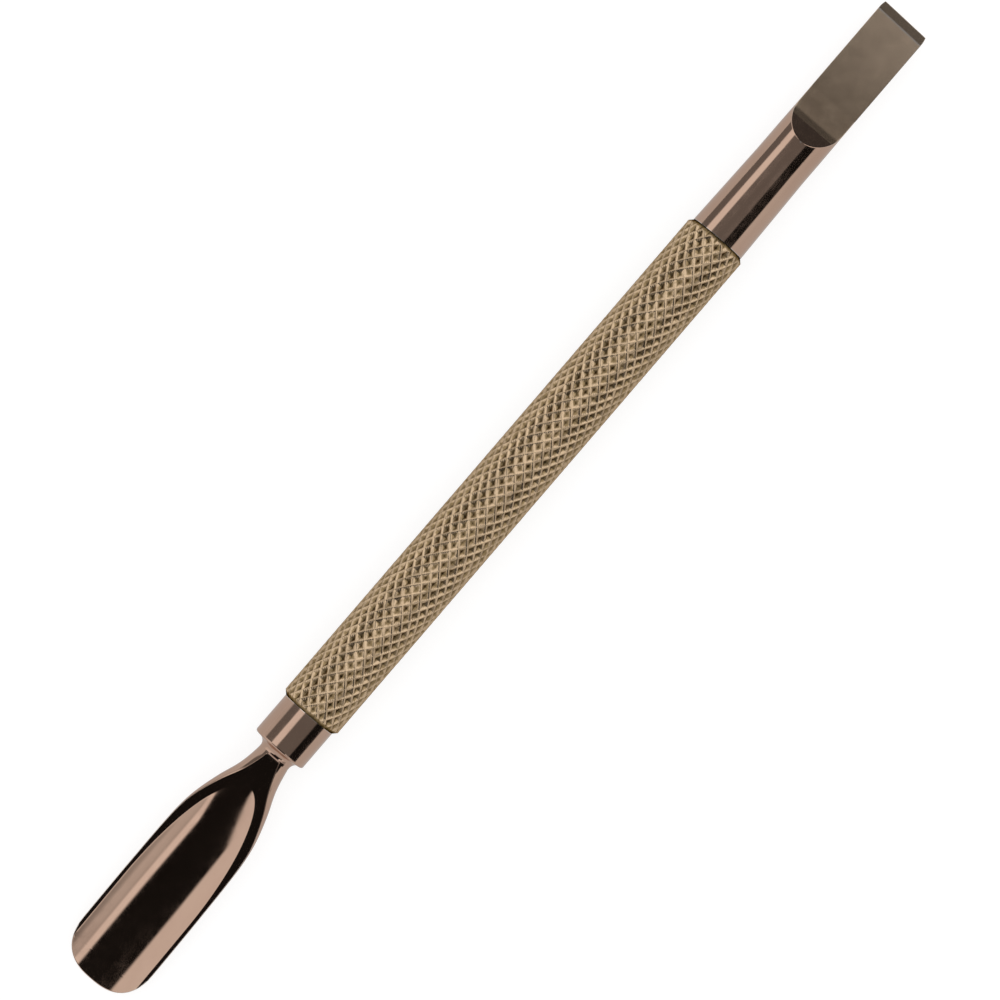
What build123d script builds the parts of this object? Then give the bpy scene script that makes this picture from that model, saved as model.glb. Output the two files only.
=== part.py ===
from build123d import *
import math
import os

# Double-ended cuticle pusher, in millimetres.
# It lies on a table: +X runs from the spoon's tip to the scraper's edge, +Z points up out of the
# spoon's hollow and the blade's flat face, and the origin is on the table under the middle of the tool.
# A station is the distance from the spoon's tip, measured along X.

# ---- driving dimensions ----
total_length = 127.0

handle_diameter = 6.9
handle_start = 34.8
handle_end = 97.7
handle_edge_chamfer = 0.4
handle_bore = 4.5

# the solid neck and collar behind the spoon
neck_radius = 1.87
neck_station = 29.1
neck_side_set = 0.17
collar_radius = 3.05
collar_station = 30.1
collar_edge_round = 0.25
flare_root_radius = 1.65
neck_flare_radius = 1.02

# the spoon
spoon_half_width = 4.58
spoon_side_set = 0.55
nose_centre_station = 5.0
nose_reach = 7.6
nose_side_reach = 10.0
tip_outline_reach = 5.0
tip_outline_half_width = 4.6
tip_outline_power = 2.5
tip_outline_spread = 1.0
front_tip_height = 2.08
front_tip_slope = 0.0612
front_bow_radius = 329.0
front_end_round = 0.25

# the hollow milled along the spoon's front
hollow_radius = 7.27
hollow_depth = 1.31
hollow_straight_end = 10.5
hollow_end_station = 25.4

# the scraper: a round shank, ground flat on its front and tapered on its back
shank_root_radius = 3.1
shank_radius = 2.9
shank_taper_length = 9.8
blade_flat_below_axis = 0.15
run_out_start_station = 110.4
run_out_degrees = 40.0
run_out_radius = 5.0
back_taper_start_station = 109.0
blade_tip_thickness = 1.0
blade_side_grind = 0.03
tip_bevel_length = 1.0
tip_bevel_drop = 0.75
tip_skew_degrees = 2.2
tip_corner_round = 0.25

# the tangs and the filler metal that hold both ends in the tube
tang_radius = 2.1
tang_length = 12.0
tang_end_chamfer = 0.5
tang_groove_width = 1.0
tang_groove_depth = 0.25
braze_length = 9.0
braze_start = 1.5

axis_height = handle_diameter / 2
bore_radius = handle_bore / 2

# how far the shapes that cut the steel reach beyond it
clear_height = 12.0
clear_depth = 5.0
clear_aside = 7.0
clear_past_end = 3.0

# the middle of a quarter bend, as shares of its radius
bend_out = math.sqrt(0.5)
bend_in = 1 - bend_out


def along(station):
    """X of a station."""
    return station - total_length / 2


def front_height(station):
    """Height of the spoon's front face above the table: a shallow bow that climbs towards the neck."""
    return front_tip_height + front_tip_slope * station + station**2 / (2 * front_bow_radius)


def side_offset(station):
    """How far the forging stands to -Y of the handle's axis: least at the neck, most at the tip."""
    reach = max(0.0, 1 - station / neck_station)
    return -neck_side_set - spoon_side_set * reach**0.8


def upright_ellipse(station, half_width, half_height, centre_height):
    """An ellipse across the tool, used as one section of the spoon's blank."""
    plane = Plane(
        origin=(along(station), side_offset(station), centre_height),
        x_dir=(0, 1, 0),
        z_dir=(1, 0, 0),
    )
    return plane * Ellipse(half_width, half_height)


def axis_profile(points):
    """A closed outline of (station, radius) corners, in the plane of the tool's axis."""
    corners = [(along(station), 0, axis_height + radius) for station, radius in points]
    return make_face(Polyline(*corners, close=True))


def turned(face):
    """A face revolved once about the tool's axis."""
    return revolve(face, Axis((0, 0, axis_height), (1, 0, 0)), 360)


def tang(root_station, direction):
    """The plain spigot behind each end, with two shallow grooves that key the filler metal."""
    end = root_station + direction * tang_length
    points = [(root_station, 0), (root_station, tang_radius)]
    for share in (0.3, 0.6):
        groove = root_station + direction * share * tang_length
        for step, radius in ((0, tang_radius), (0.5, tang_radius - tang_groove_depth), (1, tang_radius)):
            points.append((groove + direction * step * tang_groove_width, radius))
    points.append((end - direction * tang_end_chamfer, tang_radius))
    points.append((end, tang_radius - tang_end_chamfer))
    points.append((end, 0))
    return turned(axis_profile(points))


def spoon_blank():
    """The forged blank: elliptical sections from the rounded nose to the round neck."""
    # station, half width, height of the back above the table, share of the half height that the
    # front face stands above the widest line
    shape = [
        (8.0, 4.58, 0.20, 0.05),
        (12.0, 4.56, 0.52, 0.06),
        (17.0, 4.48, 0.98, 0.10),
        (19.6, 4.33, 1.20, 0.18),
        (21.7, 3.98, 1.34, 0.32),
        (24.2, 3.25, 1.46, 0.50),
        (26.7, 2.34, 1.55, 0.73),
    ]
    sections = []
    nose_centre = front_height(nose_centre_station) / 1.05
    for step in range(5):
        station = -0.6 + step * (nose_centre_station + 0.6) / 4
        before = nose_centre_station - station
        half_width = spoon_half_width * math.sqrt(1 - (before / nose_side_reach) ** 2)
        half_height = nose_centre * math.sqrt(1 - (before / nose_reach) ** 2)
        sections.append(upright_ellipse(station, half_width, half_height, nose_centre))
    for station, half_width, back, share in shape:
        half_height = (front_height(station) - back) / (1 + share)
        sections.append(upright_ellipse(station, half_width, half_height, back + half_height))
    for station in (neck_station, neck_station + 0.5, collar_station + collar_edge_round):
        sections.append(upright_ellipse(station, neck_radius, neck_radius, axis_height))
    return loft(sections)


def spoon_front_waste():
    """Everything above the spoon's front face, as far as the blunt end of the face on the neck."""
    start = -clear_past_end
    middle = neck_station / 2
    end_height = front_height(neck_station)
    end = neck_station + front_end_round

    def point(station, height):
        return (along(station), 0, height)

    outline = [
        ThreePointArc(
            point(start, front_height(start)),
            point(middle, front_height(middle)),
            point(neck_station, end_height),
        ),
        ThreePointArc(
            point(neck_station, end_height),
            point(
                neck_station + front_end_round * bend_out,
                end_height + front_end_round * bend_in,
            ),
            point(end, end_height + front_end_round),
        ),
        Polyline(
            point(end, end_height + front_end_round),
            point(end, clear_height),
            point(start, clear_height),
            point(start, front_height(start)),
        ),
    ]
    return extrude(make_face(outline), amount=clear_aside, dir=(0, 1, 0), both=True)


def hollow_waste():
    """The round-bottomed hollow: it runs out through the tip and climbs to nothing near the neck."""
    run = hollow_end_station - hollow_straight_end

    def centre(station):
        # the cutter's centre stands square above the hollow's bottom line
        climb = max(0.0, station - hollow_straight_end)
        bottom = front_height(station) - hollow_depth * (1 - (climb / run) ** 2)
        slope = front_tip_slope + station / front_bow_radius + 2 * hollow_depth * climb / run**2
        lean = math.atan(slope)
        return (
            along(station) - hollow_radius * math.sin(lean),
            side_offset(station),
            bottom + hollow_radius * math.cos(lean),
        )

    steady = (-clear_past_end, hollow_straight_end / 2, hollow_straight_end)
    climbing = (hollow_straight_end + run / 3, hollow_straight_end + run * 2 / 3, hollow_end_station)
    stations = steady + climbing + (hollow_end_station + clear_past_end,)
    path = Spline(*[centre(station) for station in stations])
    section = Plane(origin=path @ 0, z_dir=path % 0) * Circle(hollow_radius)
    return sweep(section, path=path)


def spoon_tip_outline():
    """The spoon's tip seen from above: a rounded square curve, then sides that leave the blank alone."""
    middle = side_offset(0)
    half = tip_outline_half_width

    def on_outline(share, side):
        # share runs from 0 at the very tip to 1 where the outline is parallel to the sides
        across = math.sin(share * math.pi / 2) ** (2 / tip_outline_power)
        back = math.cos(share * math.pi / 2) ** (2 / tip_outline_power)
        return (along(tip_outline_reach * (1 - back)), middle + side * half * across, -clear_depth)

    steps = (0.25, 0.45, 0.65, 0.82, 1.0)
    curve = [on_outline(share, -1) for share in reversed(steps)]
    curve += [on_outline(0, 1)]
    curve += [on_outline(share, 1) for share in steps]
    far = along(collar_station + collar_edge_round)
    wide = half + tip_outline_spread
    outline = [
        Spline(*curve, tangents=[(-1, 0, 0), (1, 0, 0)]),
        Polyline(
            curve[-1],
            (far, middle + wide, -clear_depth),
            (far, middle - wide, -clear_depth),
            curve[0],
        ),
    ]
    return extrude(make_face(outline), amount=clear_depth + clear_height, dir=(0, 0, 1))


def collar():
    """The flare behind the neck and the smooth collar against the handle."""
    flare_top = flare_root_radius + neck_flare_radius
    flare_start = collar_station - neck_flare_radius

    def point(station, radius):
        return (along(station), 0, axis_height + radius)

    outline = [
        Line(point(flare_start, 0), point(flare_start, flare_root_radius)),
        ThreePointArc(
            point(flare_start, flare_root_radius),
            point(
                flare_start + neck_flare_radius * bend_out,
                flare_root_radius + neck_flare_radius * bend_in,
            ),
            point(collar_station, flare_top),
        ),
        Polyline(
            point(collar_station, flare_top),
            point(collar_station, collar_radius - collar_edge_round),
        ),
        ThreePointArc(
            point(collar_station, collar_radius - collar_edge_round),
            point(
                collar_station + collar_edge_round * bend_in,
                collar_radius - collar_edge_round * bend_in,
            ),
            point(collar_station + collar_edge_round, collar_radius),
        ),
        Polyline(
            point(collar_station + collar_edge_round, collar_radius),
            point(handle_start, collar_radius),
            point(handle_start, 0),
            point(flare_start, 0),
        ),
    ]
    return turned(make_face(outline))


def spoon_end():
    """The forged spoon with its hollow, neck, collar and tang, all one piece of steel."""
    spoon = spoon_blank() & spoon_tip_outline()
    spoon = spoon + collar()
    spoon = spoon - spoon_front_waste()
    spoon = spoon - hollow_waste()
    return spoon + tang(handle_start, 1)


def handle_tube():
    """The hollow handle at its size over the knurl, with a chamfer at each end."""
    outer = handle_diameter / 2
    inner = outer - handle_edge_chamfer
    points = [
        (handle_start, bore_radius),
        (handle_start, inner),
        (handle_start + handle_edge_chamfer, outer),
        (handle_end - handle_edge_chamfer, outer),
        (handle_end, inner),
        (handle_end, bore_radius),
    ]
    return turned(axis_profile(points))


def shank():
    """The round bar of the scraper, slightly thicker where it meets the handle."""
    points = [
        (handle_end, 0),
        (handle_end, shank_root_radius),
        (handle_end + shank_taper_length, shank_radius),
        (total_length + clear_past_end, shank_radius),
        (total_length + clear_past_end, 0),
    ]
    return turned(axis_profile(points))


def blade_front_waste():
    """What is ground off the front: a slope down from the full bar, a hollow bend and the flat face."""
    flat = axis_height - blade_flat_below_axis
    slope_angle = math.radians(run_out_degrees)
    fall = math.tan(slope_angle)
    corner_station = run_out_start_station + (axis_height + shank_radius - flat) / fall
    tangent = run_out_radius * math.tan(slope_angle / 2)
    bend_start = corner_station - tangent * math.cos(slope_angle)
    bend_end = corner_station + tangent
    slope_top = corner_station - (clear_height - flat) / fall

    def point(station, height):
        return (along(station), 0, height)

    def on_bend(angle):
        return point(
            bend_end - run_out_radius * math.sin(angle),
            flat + run_out_radius * (1 - math.cos(angle)),
        )

    outline = [
        ThreePointArc(
            point(bend_start, flat + tangent * math.sin(slope_angle)),
            on_bend(slope_angle / 2),
            point(bend_end, flat),
        ),
        Polyline(
            point(bend_end, flat),
            point(total_length + clear_past_end, flat),
            point(total_length + clear_past_end, clear_height),
            point(slope_top, clear_height),
            point(bend_start, flat + tangent * math.sin(slope_angle)),
        ),
    ]
    return extrude(make_face(outline), amount=clear_aside, dir=(0, 1, 0), both=True)


def tip_bevel_waste():
    """The short bevel that sharpens the blade's front at the tip, square to the skewed end."""
    flat = axis_height - blade_flat_below_axis
    fall = tip_bevel_drop / tip_bevel_length
    corners = [
        (-tip_bevel_length, 0, flat),
        (clear_past_end, 0, flat - fall * (tip_bevel_length + clear_past_end)),
        (clear_past_end, 0, clear_height),
        (-tip_bevel_length, 0, clear_height),
    ]
    wedge = make_face(Polyline(*corners, close=True))
    wedge = extrude(wedge, amount=clear_aside, dir=(0, 1, 0), both=True)
    tip_middle = along(total_length - tip_lean() / 2)
    return Pos(tip_middle, 0, 0) * Rot(0, 0, -tip_skew_degrees) * wedge


def blade_back_waste():
    """What is ground off the back: one long taper that thins the blade towards its tip."""
    start_height = axis_height - shank_radius
    end_height = axis_height - blade_flat_below_axis - blade_tip_thickness
    rise = (end_height - start_height) / (total_length - back_taper_start_station)
    past_end = total_length + clear_past_end
    corners = [
        (along(back_taper_start_station), 0, start_height),
        (along(past_end), 0, end_height + rise * clear_past_end),
        (along(past_end), 0, -clear_depth),
        (along(back_taper_start_station), 0, -clear_depth),
    ]
    wedge = make_face(Polyline(*corners, close=True))
    return extrude(wedge, amount=clear_aside, dir=(0, 1, 0), both=True)


def blade_half_width():
    """Half the blade's width over its ground sides."""
    return shank_radius - blade_side_grind


def tip_lean():
    """How much shorter the blade is on its -Y side than on its +Y side."""
    return 2 * blade_half_width() * math.tan(math.radians(tip_skew_degrees))


def blade_end_outline():
    """The blade seen from above: trued sides, and an end cut very slightly out of square."""
    side = blade_half_width()
    wide = clear_aside / 2
    start = handle_end - clear_past_end
    corners = [
        (along(start), -wide),
        (along(back_taper_start_station), -wide),
        (along(run_out_start_station), -side),
        (along(total_length - tip_lean()), -side),
        (along(total_length), side),
        (along(run_out_start_station), side),
        (along(back_taper_start_station), wide),
        (along(start), wide),
    ]
    sheet = make_face(Polyline(*corners, close=True))
    tip_corners = sheet.vertices().sort_by(Axis.X)[-2:]
    return extrude(fillet(tip_corners, tip_corner_round), amount=clear_height, dir=(0, 0, 1))


def scraper_end():
    """The round shank, the flat blade and the tang, all one piece of steel."""
    blade = shank() - blade_front_waste() - tip_bevel_waste() - blade_back_waste()
    blade = blade & blade_end_outline()
    return blade + tang(handle_end, -1)


def braze_sleeve(root_station, direction):
    """The filler metal between a tang and the tube's bore."""
    start = root_station + direction * braze_start
    end = start + direction * braze_length
    points = [
        (start, tang_radius),
        (start, bore_radius),
        (end, bore_radius),
        (end, tang_radius),
    ]
    return turned(axis_profile(points))


os.makedirs("parts", exist_ok=True)
pieces = {
    "handle_tube": handle_tube(),
    "spoon_end": spoon_end(),
    "scraper_end": scraper_end(),
    "spoon_braze_sleeve": braze_sleeve(handle_start, 1),
    "scraper_braze_sleeve": braze_sleeve(handle_end, -1),
}
for name, piece in pieces.items():
    export_step(piece, f"parts/{name}.step")
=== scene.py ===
import math
import random

import bmesh
import bpy
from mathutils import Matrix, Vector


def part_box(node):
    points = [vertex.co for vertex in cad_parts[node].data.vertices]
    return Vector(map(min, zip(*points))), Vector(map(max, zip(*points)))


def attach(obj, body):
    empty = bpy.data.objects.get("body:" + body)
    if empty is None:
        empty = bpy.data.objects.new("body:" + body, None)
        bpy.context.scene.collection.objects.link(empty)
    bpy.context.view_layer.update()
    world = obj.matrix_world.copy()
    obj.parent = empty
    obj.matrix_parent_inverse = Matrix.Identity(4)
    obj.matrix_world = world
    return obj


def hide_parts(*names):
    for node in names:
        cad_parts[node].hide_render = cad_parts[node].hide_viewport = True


# Looks of a double-ended cuticle pusher: a hollowed spoon, a knurled tube and a flat scraper.
# Shapes are worked out in millimetres and made in metres. A station is the distance from the
# spoon's tip, measured along X. The tool's own axis runs along X at the height of the tube's middle.

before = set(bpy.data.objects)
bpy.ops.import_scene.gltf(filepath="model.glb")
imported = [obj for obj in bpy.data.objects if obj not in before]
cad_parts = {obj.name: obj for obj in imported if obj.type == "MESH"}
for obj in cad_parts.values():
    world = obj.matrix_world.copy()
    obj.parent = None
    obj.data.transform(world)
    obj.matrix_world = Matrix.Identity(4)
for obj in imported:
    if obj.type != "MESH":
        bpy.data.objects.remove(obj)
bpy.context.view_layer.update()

MM = 0.001

# ---- places taken from the frame ----
spoon_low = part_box("spoon_end")[0] / MM
tube_low, tube_high = [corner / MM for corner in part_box("handle_tube")]

SPOON_TIP_X = spoon_low.x
AXIS_HEIGHT = (tube_low.z + tube_high.z) / 2
HANDLE_RADIUS = (tube_high.z - tube_low.z) / 2
HANDLE_START = tube_low.x - SPOON_TIP_X
HANDLE_END = tube_high.x - SPOON_TIP_X
TOTAL_LENGTH = 127.0

# ---- handle ----
HANDLE_EDGE_CHAMFER = 0.4
BORE_RADIUS = 2.25
KNURL_STARTS = 19
KNURL_PITCH = 1.44
KNURL_DEPTH = 0.32
# the shallowest pit, as a share of the depth
KNURL_SHALLOWEST = 0.75
# share of each ridge's half width that is its crest
KNURL_CREST_SHARE = 0.1
# the most that a crest has worn down
KNURL_WEAR = 0.01
# mesh steps from one ridge to the next
KNURL_STEPS = 8
KNURL_COLUMNS = KNURL_STARTS * KNURL_STEPS
KNURL_SEED = 7
HANDLE_SHARP_DEGREES = 14

# ---- neck and collar ----
NECK_RADIUS = 1.87
NECK_STATION = 29.1
NECK_SIDE_SET = 0.17
COLLAR_RADIUS = 3.05
COLLAR_STATION = 30.1
COLLAR_EDGE_ROUND = 0.25
FLARE_TOP_RADIUS = 2.67
FLARE_LENGTH = 0.8
FLARE_STEPS = 16
COLLAR_EDGE_STEPS = 8

# ---- spoon ----
SPOON_HALF_WIDTH = 4.58
SPOON_SIDE_SET = 0.55
SPOON_SIDE_CURVE = 0.8
NOSE_CENTRE_STATION = 5.0
NOSE_REACH = 7.6
NOSE_SIDE_REACH = 10.0
# share of the half height that the nose's front stands above its widest line
NOSE_FRONT_SHARE = 0.05
TIP_REACH = 5.0
TIP_HALF_WIDTH = 4.6
TIP_POWER = 2.5
FRONT_TIP_HEIGHT = 2.08
FRONT_TIP_SLOPE = 0.0612
FRONT_BOW_RADIUS = 329.0
FRONT_END_ROUND = 0.25
HOLLOW_RADIUS = 7.27
HOLLOW_DEPTH = 1.31
HOLLOW_STRAIGHT_END = 10.5
HOLLOW_END_STATION = 25.4
SPOON_EDGE_ROUND = 0.1
# the back's first stretch below the lip, as an angle, which has points of its own
LIP_ANGLE = 0.1
# where the tip's own sections end, where the close rings end, and where the heel starts
TIP_SECTIONS_END = 2.4
CLOSE_RINGS_END = 3.6
HEEL_START = 20.0
SPOON_SHARP_DEGREES = 32

# ---- scraper ----
SHANK_ROOT_RADIUS = 3.1
SHANK_RADIUS = 2.9
SHANK_TAPER_LENGTH = 9.8
# even rings on the shank start this far from the handle
SHANK_RINGS_FROM = 1.0
BLADE_FLAT_BELOW_AXIS = 0.15
RUN_OUT_START = 110.4
RUN_OUT_DEGREES = 40.0
RUN_OUT_RADIUS = 5.0
BACK_TAPER_START = 109.0
BLADE_TIP_THICKNESS = 1.0
BLADE_SIDE_GRIND = 0.03
SIDE_GRIND_RUN = 3.0
TIP_BEVEL_LENGTH = 1.0
TIP_BEVEL_DROP = 0.75
TIP_SKEW_DEGREES = 2.2
# the skew grows from nothing over this stretch
SKEW_START = 118.0
SKEW_RUN = 6.0
TIP_CORNER_ROUND = 0.25
BLADE_EDGE_ROUND = 0.05
# where the ground finish starts, and where the blade's face is all but flat
GROUND_START = 112.3
BLADE_FACE_START = 113.0
# the least that a ground face looks up, and that the bevel also looks along the tool
GROUND_FACES_UP = 0.6
BEVEL_FACES_FORWARD = 0.3
SCRAPER_SHARP_DEGREES = 26

# ---- tangs ----
TANG_RADIUS = 2.1
TANG_LENGTH = 12.0
TANG_END_CHAMFER = 0.5
# where the two grooves lie, as shares of the tang's length
TANG_GROOVES = (0.6, 0.3)
TANG_GROOVE_WIDTH = 1.0
TANG_GROOVE_DEPTH = 0.25

# the light break of an edge that is otherwise sharp
SMALL_BREAK = 0.03
# rings this far inside a long face keep the paler band along its edge, partly wear and partly a painted
# highlight, narrow
EDGE_INSETS = (0.2, 0.07)

# an edge is painted paler, partly as wear and partly as a painted highlight, from this outward bend, and
# fully this much beyond it
PALE_EDGE_DEGREES = 14
PALE_EDGE_SPREAD = 10
# points closer than this are one point, and a run shorter than this has no length
WELD = 2e-4
NO_LENGTH = 1e-5
# a back flat that spans less than this angle isn't there
NO_FLAT_ANGLE = 1e-3

# points along each run of a half section, and round each corner between two runs; a corner's
# rounding takes at most this share of a run
CORNER_STEPS = 3
CORNER_SHARE = 0.45
SPOON_SECTION_COUNTS = (30, 5, 4, 40)
TIP_SECTION_COUNTS = (41, 7, 40)
SCRAPER_SECTION_COUNTS = (22, 49, 22)


# ---------------------------------------------------------------- mesh helpers

def span(start, end, count, dense="even"):
    """Stations from start up to, but not including, end, closer together where asked."""
    shape = {
        "even": lambda t: t,
        "start": lambda t: t * t,
        "end": lambda t: 1 - (1 - t) ** 2,
        "both": lambda t: (1 - math.cos(math.pi * t)) / 2,
    }[dense]
    return [start + (end - start) * shape(step / count) for step in range(count)]


def line(start, end):
    """A straight run of a section, as (function of 0 to 1, length)."""
    length = math.dist(start, end)

    def at(t):
        return (start[0] + (end[0] - start[0]) * t, start[1] + (end[1] - start[1]) * t)

    return at, length


def arc(half_width, half_height, centre, start_angle, end_angle, side=math.inf):
    """A stretch of an upright ellipse; angles run from straight up, and side clips its width."""

    def at(t):
        angle = start_angle + (end_angle - start_angle) * t
        across = min(half_width * math.sin(angle), side)
        return (across, centre + half_height * math.cos(angle))

    return at, abs(end_angle - start_angle) * (half_width + half_height) / 2


def chain(runs, counts, rounding):
    """Joins runs into one list of points with rounded corners; a run with no length keeps its count."""
    lengths = [length for _, length in runs]
    live = [index for index, length in enumerate(lengths) if length > NO_LENGTH]
    trims = {}
    for before, after in zip(live, live[1:]):
        trims[before, after] = min(rounding, CORNER_SHARE * lengths[before], CORNER_SHARE * lengths[after])
    points = []
    for index, (at, length) in enumerate(runs):
        last_run = index == len(runs) - 1
        extra = 0 if last_run else CORNER_STEPS
        if index not in live:
            here = points[-1] if points else at(0)
            points += [here] * (counts[index] + extra)
            continue
        place = live.index(index)
        ahead = live[place + 1] if place + 1 < len(live) else None
        behind = live[place - 1] if place else None
        first = trims.get((behind, index), 0) / length
        last = 1 - trims.get((index, ahead), 0) / length
        for step in range(counts[index]):
            points.append(at(first + (last - first) * step / (counts[index] - 1)))
        if last_run:
            continue
        if ahead is None:
            points += [points[-1]] * CORNER_STEPS
            continue
        corner = at(1)
        leave = points[-1]
        arrive = runs[ahead][0](trims[index, ahead] / lengths[ahead])
        for step in range(1, CORNER_STEPS + 1):
            t = step / (CORNER_STEPS + 1)
            points.append(tuple(
                leave[k] * (1 - t) ** 2 + 2 * corner[k] * t * (1 - t) + arrive[k] * t * t
                for k in (0, 1)
            ))
    return points


def full_ring(half):
    """A whole section from its +Y half, which runs from the top middle to the bottom middle."""
    mirrored = [(-across, height) for across, height in reversed(half[1:-1])]
    return half + mirrored


def skin(rings):
    """Vertices and faces of a closed skin over rings of (x, y, z) points."""
    size = len(rings[0])
    points = [point for ring in rings for point in ring]
    faces = []
    for row in range(len(rings) - 1):
        for step in range(size):
            follow = (step + 1) % size
            faces.append((
                row * size + step,
                row * size + follow,
                (row + 1) * size + follow,
                (row + 1) * size + step,
            ))
    faces.append(tuple(reversed(range(size))))
    faces.append(tuple((len(rings) - 1) * size + step for step in range(size)))
    return points, faces


def mark_edges(build):
    """Stores, at each vertex, how strongly an outward edge bends there, so that the paler edge, partly wear
    and partly a painted highlight, can follow it.
    """
    layer = build.verts.layers.float.new("edge_bend")
    for edge in build.edges:
        if len(edge.link_faces) != 2 or not edge.is_convex:
            continue
        beyond = math.degrees(edge.calc_face_angle(0.0)) - PALE_EDGE_DEGREES
        bend = min(1.0, max(0.0, beyond / PALE_EDGE_SPREAD))
        for corner in edge.verts:
            corner[layer] = max(corner[layer], bend)


def make_piece(name, points, faces, sharp_degrees, node):
    """A mesh object from millimetre points that stands for a CAD node."""
    mesh = bpy.data.meshes.new(name)
    build = bmesh.new()
    corners = [build.verts.new([value * MM for value in point]) for point in points]
    for face in faces:
        build.faces.new([corners[index] for index in face])
    bmesh.ops.remove_doubles(build, verts=build.verts, dist=WELD * MM)
    bmesh.ops.dissolve_degenerate(build, edges=build.edges, dist=WELD * MM)
    large = [face for face in build.faces if len(face.verts) > 4]
    bmesh.ops.triangulate(build, faces=large)
    bmesh.ops.recalc_face_normals(build, faces=build.faces)
    mark_edges(build)
    build.to_mesh(mesh)
    build.free()
    mesh.shade_smooth()
    mesh.set_sharp_from_angle(angle=math.radians(sharp_degrees))
    piece = bpy.data.objects.new(name, mesh)
    bpy.context.scene.collection.objects.link(piece)
    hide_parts(node)
    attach(piece, "root")
    return piece


def smooth_between(table, station):
    """Values of a small table at a station, by a curve that passes through every row."""
    if station >= table[-1][0]:
        return table[-1][1:]
    for index in range(len(table) - 1):
        if station < table[index + 1][0]:
            break
    left = table[index]
    right = table[index + 1]
    before = table[max(index - 1, 0)]
    after = table[min(index + 2, len(table) - 1)]
    width = right[0] - left[0]
    t = (station - left[0]) / width
    result = []
    for column in range(1, len(left)):
        slope_left = (right[column] - before[column]) / (right[0] - before[0])
        slope_right = (after[column] - left[column]) / (after[0] - left[0])
        result.append(
            left[column] * (2 * t**3 - 3 * t**2 + 1)
            + slope_left * width * (t**3 - 2 * t**2 + t)
            + right[column] * (3 * t**2 - 2 * t**3)
            + slope_right * width * (t**3 - t**2)
        )
    return result


def tang_profile(root, direction):
    """(station, radius) corners of the spigot behind an end, from its free end to its root."""
    end = root + direction * TANG_LENGTH
    points = [
        (end, TANG_RADIUS - TANG_END_CHAMFER),
        (end - direction * TANG_END_CHAMFER, TANG_RADIUS),
    ]
    for share in TANG_GROOVES:
        groove = root + direction * share * TANG_LENGTH
        for step, radius in ((1, TANG_RADIUS), (0.5, TANG_RADIUS - TANG_GROOVE_DEPTH), (0, TANG_RADIUS)):
            points.append((groove + direction * step * TANG_GROOVE_WIDTH, radius))
    points.append((root, TANG_RADIUS))
    return points


# ---------------------------------------------------------------- spoon

def front_height(station):
    """Height of the spoon's front face above the table."""
    return FRONT_TIP_HEIGHT + FRONT_TIP_SLOPE * station + station**2 / (2 * FRONT_BOW_RADIUS)


def cut_height(station):
    """The front face, and the quarter bend that ends it on the neck."""
    if station <= NECK_STATION:
        return front_height(station)
    past = min(station - NECK_STATION, FRONT_END_ROUND)
    return front_height(NECK_STATION) + FRONT_END_ROUND - math.sqrt(FRONT_END_ROUND**2 - past**2)


def side_offset(station):
    """Offset of the forging from the handle's axis; it stands a little to -Y."""
    reach = max(0.0, 1 - station / NECK_STATION)
    return -NECK_SIDE_SET - SPOON_SIDE_SET * reach**SPOON_SIDE_CURVE


def tip_half_width(station):
    """Half width of the tip's outline, a rounded square curve, or no limit behind it."""
    if station >= TIP_REACH:
        return math.inf
    share = (1 - station / TIP_REACH) ** TIP_POWER
    return TIP_HALF_WIDTH * (1 - share) ** (1 / TIP_POWER)


def tip_rounding(station, across):
    """How far the tip's rounded edge has drawn in at a point, by its distance inside the outline."""
    back = max(0.0, 1 - station / TIP_REACH)
    aside = across / TIP_HALF_WIDTH
    level = (back**TIP_POWER + aside**TIP_POWER) ** (1 / TIP_POWER)
    steepness = math.hypot(
        (back / level) ** (TIP_POWER - 1) / TIP_REACH,
        (aside / level) ** (TIP_POWER - 1) / TIP_HALF_WIDTH,
    )
    inside = (1 - level) / steepness
    short = min(max(SPOON_EDGE_ROUND - inside, 0.0), SPOON_EDGE_ROUND)
    return SPOON_EDGE_ROUND - math.sqrt(SPOON_EDGE_ROUND**2 - short**2)


def blank_section(station):
    """Half width, half height and middle height of the forged blank."""
    nose_middle = front_height(NOSE_CENTRE_STATION) / (1 + NOSE_FRONT_SHARE)
    if station <= NOSE_CENTRE_STATION:
        before = NOSE_CENTRE_STATION - station
        half_width = SPOON_HALF_WIDTH * math.sqrt(1 - (before / NOSE_SIDE_REACH) ** 2)
        half_height = nose_middle * math.sqrt(1 - (before / NOSE_REACH) ** 2)
        return half_width, half_height, nose_middle
    if station >= NECK_STATION:
        return NECK_RADIUS, NECK_RADIUS, AXIS_HEIGHT
    neck_share = (front_height(NECK_STATION) - AXIS_HEIGHT) / NECK_RADIUS
    # station, half width, height of the back, share of the half height that the front stands
    # above the widest line
    shape = [
        (2.0, 4.56, 0.02, NOSE_FRONT_SHARE),
        (NOSE_CENTRE_STATION, SPOON_HALF_WIDTH, 0.0, NOSE_FRONT_SHARE),
        (8.0, 4.58, 0.20, NOSE_FRONT_SHARE),
        (12.0, 4.56, 0.52, 0.06),
        (17.0, 4.48, 0.98, 0.10),
        (19.6, 4.33, 1.20, 0.18),
        (21.7, 3.98, 1.34, 0.32),
        (24.2, 3.25, 1.46, 0.50),
        (26.7, 2.34, 1.55, 0.73),
        (NECK_STATION, NECK_RADIUS, AXIS_HEIGHT - NECK_RADIUS, neck_share),
        (NECK_STATION + 1.0, NECK_RADIUS, AXIS_HEIGHT - NECK_RADIUS, neck_share),
    ]
    half_width, back, share = smooth_between(shape, station)
    half_height = (front_height(station) - back) / (1 + share)
    return half_width, half_height, back + half_height


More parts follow.
